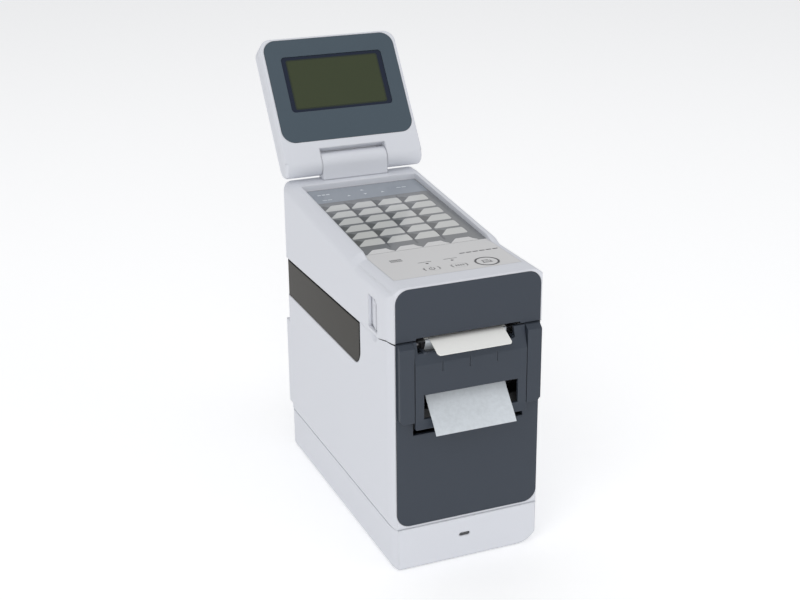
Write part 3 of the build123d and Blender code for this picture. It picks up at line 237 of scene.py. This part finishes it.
def decal(name, outlines, surface, material, body, thick=PRINT):
    """Thin printed shapes, each outline in millimetres on a surface, with their edges closed."""
    mesh = bmesh.new()
    for outline in outlines:
        top = [mesh.verts.new(surface(a / 1000, b / 1000, thick)) for a, b in outline]
        low = [mesh.verts.new(surface(a / 1000, b / 1000, -INTO_SURFACE)) for a, b in outline]
        mesh.faces.new(top)
        mesh.faces.new(low[::-1])
        for i in range(len(top)):
            j = (i + 1) % len(top)
            mesh.faces.new((top[j], top[i], low[i], low[j]))
    bmesh.ops.recalc_face_normals(mesh, faces=mesh.faces)
    data = bpy.data.meshes.new(name)
    mesh.to_mesh(data)
    mesh.free()
    piece = bpy.data.objects.new(name, data)
    bpy.context.collection.objects.link(piece)
    data.materials.append(material)
    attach(piece, body)
    return piece


def rounded(x0, x1, y0, y1, radius, steps=5):
    points = []
    corners = ((x1 - radius, y1 - radius, 0), (x0 + radius, y1 - radius, 90),
               (x0 + radius, y0 + radius, 180), (x1 - radius, y0 + radius, 270))
    for cx, cy, start in corners:
        for i in range(steps + 1):
            angle = math.radians(start + 90 * i / steps)
            points.append((cx + radius * math.cos(angle), cy + radius * math.sin(angle)))
    return points


def arc_band(cx, cy, inner, outer, start, end, steps=24):
    """Quads along a ring or part of one, as separate outlines."""
    made = []
    for i in range(steps):
        a, b = (math.radians(start + (end - start) * k / steps) for k in (i, i + 1))
        made.append([(cx + r * math.cos(t), cy + r * math.sin(t)) for r, t in
                     ((inner, a), (outer, a), (outer, b), (inner, b))])
    return made


def tab(x0, x1, low, height):
    """A key shaped like a file tab: slanted on the left, clipped on the right."""
    lean, clip = height * 0.70, height * 0.06
    return [(x0 + 0.9, low), (x1 - 1.0, low), (x1, low + 1.1), (x1, low + height * 0.8),
            (x1 - clip, low + height), (x0 + lean + 0.8, low + height),
            (x0 + lean - 0.4, low + height - 0.7), (x0 + 0.1, low + 1.6), (x0, low + 0.8)]


def on_touch(name, outlines, material, thick=PRINT):
    return decal(name, outlines, on_glass, material, "cover", thick)


def on_cover(name, outlines, material, body="cover"):
    return decal(name, outlines, on_fascia, material, body)


def brackets(cx, cy):
    """The pair of arcs that stands either side of a key's mark."""
    return arc_band(cx, cy, 5.0, 5.5, 155, 205, 4) + arc_band(cx, cy, 5.0, 5.5, -25, 25, 4)


# The touch panel's print, x and depth in millimetres.
COLUMNS = ((-42.3, -23.5), (-22.0, -3.1), (-1.5, 17.3), (19.3, 38.5))
FIRST_ROW, ROW_PITCH, ROWS, KEY_HEIGHT = 84.6, 13.6, 6, 10.4
rows = [FIRST_ROW + ROW_PITCH * row for row in range(ROWS)]
keys = [tab(x0, x1, low, KEY_HEIGHT) for x0, x1 in COLUMNS for low in rows]
on_touch("touch_keys", keys, PRINTS["print_light"])
lobes = [[(x0 - 0.5, 70.15), (x1 + 1.2, 70.15), (x1 + 0.6, 71.6), (x1 - 1.5, 73.6), (x1 - 3.2, 76.9),
          (x0 + 6.2, 76.9), (x0 + 4.9, 76.0), (x0 + 1.8, 72.6)] for x0, x1 in COLUMNS]
decal("touch_front_tabs", lobes, on_glass, MATS["fascia_film"], "cover")
shade = [[(x0 - 0.7, low), (x0 + 5.2, low + 6.6), (x0 + 2.0, low + 9.6), (x0 - 0.7, low + 9.6)]
         for x0, x1 in COLUMNS for low in (row + 1.4 for row in rows)]
on_touch("touch_grid", shade, PRINTS["print_grid"], SHADE)
columns = [rounded(x1 + 0.35, x1 + 0.85, 78.0, 166.5, 0.2) for x0, x1 in COLUMNS[:3]]
on_touch("touch_columns", columns, PRINTS["print_dark"], RULE)
on_touch("touch_band", [rounded(-44.6, 44.6, 169.3, 195.4, 0.6)], PRINTS["print_band"])
marks = [[(x, d + 1.3), (x - 1.3, d - 0.9), (x + 1.3, d - 0.9)]
         for x, d in ((-2.0, 186.2), (-15.0, 178.4), (11.5, 178.0))]
marks += [[(-2.0, 176.8), (-0.7, 179.0), (-3.3, 179.0)]]
marks += [rounded(x, x + 2.6, 184.6, 186.2, 0.4) for x in (-37.2, -33.8, -30.4)]
marks += [rounded(x, x + 3.4, d, d + 0.9, 0.3)
          for x, d in ((-37.0, 174.2), (-33.0, 174.2), (24.6, 181.8), (28.8, 181.8))]
on_touch("touch_marks", marks, PRINTS["print_white"], MARK)

# The fascia's print. The three keys' marks move with their keys.
on_cover("print_ring", arc_band(25.2, 26.9, 7.1, 8.3, 0, 360, 48), PRINTS["print_grey"], "print_key")
sheet = ((21.6, 28.8, 24.6, 25.3), (22.2, 22.9, 25.5, 29.6), (27.4, 28.1, 25.5, 28.4),
         (23.2, 27.0, 28.9, 29.6), (24.0, 26.6, 26.6, 27.3))
on_cover("print_mark", [rounded(*bar, 0.2) for bar in sheet], PRINTS["print_grey"], "print_key")
feed = [rounded(2.6 + i * 1.7, 3.3 + i * 1.7, 25.6, 28.4, 0.2) for i in range(4)]
on_cover("feed_mark", feed + brackets(5.2, 27.0), PRINTS["print_grey"], "feed_key")
power = arc_band(-14.0, 27.8, 1.5, 2.1, 125, 415, 20) + [rounded(-14.3, -13.7, 28.2, 30.6, 0.2)]
on_cover("power_mark", power + brackets(-14.0, 28.1), PRINTS["print_grey"], "power_key")
legend = [rounded(-34.0 + i * 1.45, -33.1 + i * 1.45, low, high, 0.1)
          for low, high in ((49.2, 50.6), (51.6, 53.6)) for i in range(6)]
on_cover("legend_left", legend, PRINTS["print_dark"])
rules = [rounded(x, x + 9.5, 41.2, 41.7, 0.15) for x in (-18.2, 0.2)]
rules += [rounded(15.0 + i * 4.9, 18.9 + i * 4.9, 47.6, 48.9, 0.3) for i in range(6)]
on_cover("fascia_rules", rules, PRINTS["print_grey"])

# The LCD seen through the display's window, with a darker rim of painted shade where it sits recessed.
shade_outline = rounded(-37.2, 36.9, 41.6, 82.0, 1.8)
view_outline = rounded(-36.2, 35.9, 42.6, 81.0, 1.6)
decal("lcd_edge_shade", [shade_outline], on_display, PRINTS["lcd_edge_shade"], "display")
decal("lcd_view", [view_outline], on_display, MATS["lcd_glass"], "display", VIEW)


def parting_z(d):
    """Height of the case's top edge, d behind the front, both in millimetres."""
    for (d0, z0), (d1, z1) in zip(PARTING, PARTING[1:]):
        if d < d1:
            return z0 + (z1 - z0) * (d - d0) / (d1 - d0)
    return PARTING[-1][1]


def shadow_strip(name, side, outlines, surface):
    """Black strip of painted shadow on one side of the case; side is -1 for left and 1 for right."""
    full = name + ("_right" if side > 0 else "_left")
    return decal(full, outlines, surface, PRINTS["shadow_black"], "chassis")


def window_edge_shadow(side):
    """Painted shadow as a black strip along the top and front edges of a side window, in millimetres."""
    corner_d, corner_z, corner_radius, steps = 69, 140, 11.9, 6
    top_width, front_width, end_width = 1.9, 2.4, 0.1

    def point(y, z, h):
        return Vector((side * (SHADOW_BASE + h - INTO_SURFACE), y, z))

    outer, inner = [], []
    for d in (209.8, 150.0, 100.0, 57.1):
        top = parting_z(d) - 0.35
        outer.append((d, top))
        inner.append((max(d, 59.6), top - top_width))
    for i in range(steps + 1):
        angle = math.radians(180 + 75 * i / steps)
        narrow = corner_radius - end_width - front_width * (1 - i / steps)
        for line, radius in ((outer, corner_radius), (inner, narrow)):
            line.append((corner_d + radius * math.cos(angle), corner_z + radius * math.sin(angle)))
    quads = [[(FRONT * 1000 + d, z) for d, z in (outer[i], outer[i + 1], inner[i + 1], inner[i])]
             for i in range(len(outer) - 1)]
    shadow_strip("window_edge_shadow", side, quads, point)


def gap_shadow(side):
    """Painted shadow of the gap under the cover's edge, a dark strip on the case from the front to reach
    millimetres back.
    """
    reach = 26

    def point(d, z, h):
        bend = max(0.0, CORNER_RUN - d)
        inward = CORNER_RADIUS - math.sqrt(CORNER_RADIUS ** 2 - bend ** 2)
        return Vector((side * (CASE_HALF - inward + h), FRONT + d, z))

    quads = []
    for d in range(reach):
        ends = (max(d, 0.3), d + 1)
        lower = [(v, parting_z(v) - 0.25 - 0.75 * (1 - v / reach)) for v in ends]
        upper = [(v, parting_z(v) - 0.03) for v in ends]
        quads.append(lower + upper[::-1])
    shadow_strip("gap_shadow", side, quads, point)


for build in (window_edge_shadow, gap_shadow):
    build(-1)
    build(1)

# ------------------------------------------------------------ stage, light and camera
FLOOR_GLOW, SKY_LIGHT, SKY_SEEN = 0.22, 0.58, 1.0
bpy.ops.mesh.primitive_plane_add(size=14, location=(0, 0, -0.0001))
floor = bpy.context.object
floor.name = "floor"
ground = bpy.data.materials.new("floor")
ground.use_nodes = True
pale = ground.node_tree.nodes["Principled BSDF"]
pale.inputs["Base Color"].default_value = (0.98, 0.98, 0.98, 1)
pale.inputs["Roughness"].default_value = 0.9
pale.inputs["Emission Color"].default_value = (1, 1, 1, 1)
pale.inputs["Emission Strength"].default_value = FLOOR_GLOW
floor.data.materials.append(ground)


def softbox(name, place, aim, size, power):
    data = bpy.data.lights.new(name, "AREA")
    data.shape = "DISK"
    data.size = size
    data.energy = power
    lamp = bpy.data.objects.new(name, data)
    bpy.context.collection.objects.link(lamp)
    lamp.location = place
    lamp.rotation_euler = (Vector(aim) - Vector(place)).to_track_quat("-Z", "Y").to_euler()


softbox("key", (-1.4, -1.2, 1.9), (0, 0, 0.15), 1.4, 10.5)
softbox("fill", (1.6, -1.6, 1.2), (0, 0, 0.15), 1.6, 4)
softbox("front", (-0.7, -2.2, 0.9), (0, 0, 0.2), 1.0, 6)
softbox("top", (0.1, 0.3, 2.4), (0, 0, 0.2), 1.8, 7)
world = bpy.data.worlds.new("studio")
bpy.context.scene.world = world
world.use_nodes = True
sky = world.node_tree.nodes["Background"]
sky.inputs["Color"].default_value = (0.97, 0.98, 1.0, 1)
rays = world.node_tree.nodes.new("ShaderNodeLightPath")
level = world.node_tree.nodes.new("ShaderNodeMapRange")
level.inputs["To Min"].default_value = SKY_LIGHT
level.inputs["To Max"].default_value = SKY_SEEN
world.node_tree.links.new(rays.outputs["Is Camera Ray"], level.inputs["Value"])
world.node_tree.links.new(level.outputs["Result"], sky.inputs["Strength"])
bpy.context.scene.view_settings.view_transform = "Standard"

# The camera, solved on the photo.
yaw, pitch, roll = math.radians(22.379), math.radians(20.713), math.radians(-0.545)
ahead = Vector((math.sin(yaw) * math.cos(pitch), math.cos(yaw) * math.cos(pitch), -math.sin(pitch)))
right = Vector((math.cos(yaw), -math.sin(yaw), 0))
up = right.cross(ahead)
across = right * math.cos(roll) + up * math.sin(roll)
upright = up * math.cos(roll) - right * math.sin(roll)
lens = bpy.data.cameras.new("camera")
lens.lens = 64.14
lens.sensor_width = 36
lens.clip_end = 40
camera = bpy.data.objects.new("camera", lens)
bpy.context.collection.objects.link(camera)
turn = Matrix((across, upright, -ahead)).transposed().to_4x4()
eye = (-0.36709, -0.90467, 0.51189)
camera.matrix_world = Matrix.Translation(eye) @ turn
bpy.context.scene.camera = camera
